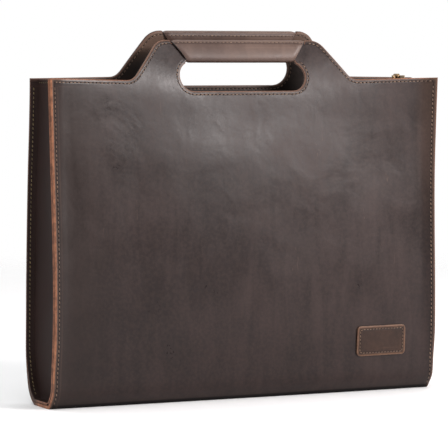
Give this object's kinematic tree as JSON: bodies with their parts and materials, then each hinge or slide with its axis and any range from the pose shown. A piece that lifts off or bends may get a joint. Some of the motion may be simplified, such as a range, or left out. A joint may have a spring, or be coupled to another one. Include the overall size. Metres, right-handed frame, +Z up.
{
  "type": "leather laptop bag",
  "caption": "Slim standing laptop bag of thick brown leather with cut-out handles, wrapped grips, inset side gussets, a recessed zip and a bare label patch.",
  "frame": {"origin": "on the floor under the middle of the bag's outer box", "axes": "+X along the bag towards its right side seen from the front, +Y from the front to the back, +Z up"},
  "size_m": [0.3936, 0.0738, 0.3362],
  "materials": {
    "wrap_leather": "oiled dark brown leather with soft mottling and a tan raw edge",
    "gusset_leather": "darker brown leather",
    "grip_leather": "smooth lighter brown leather",
    "patch_leather": "reddish brown leather with a rubbed edge",
    "facing_leather": "dark brown leather",
    "zip_tape": "woven beige tape",
    "zip_metal": "dark antique metal"
  },
  "bodies": {
    "root": {"body_wrap": "wrap_leather", "gusset_left": "gusset_leather", "gusset_right": "gusset_leather", "grip_wrap_front": "grip_leather", "grip_wrap_back": "grip_leather", "label_patch": "patch_leather", "zip_facing_front": "facing_leather", "zip_facing_back": "facing_leather", "zip_tape": "zip_tape", "zip_chain": "zip_metal", "zip_slider": "zip_metal", "zip_pull": "zip_metal"}
  },
  "joints": []
}
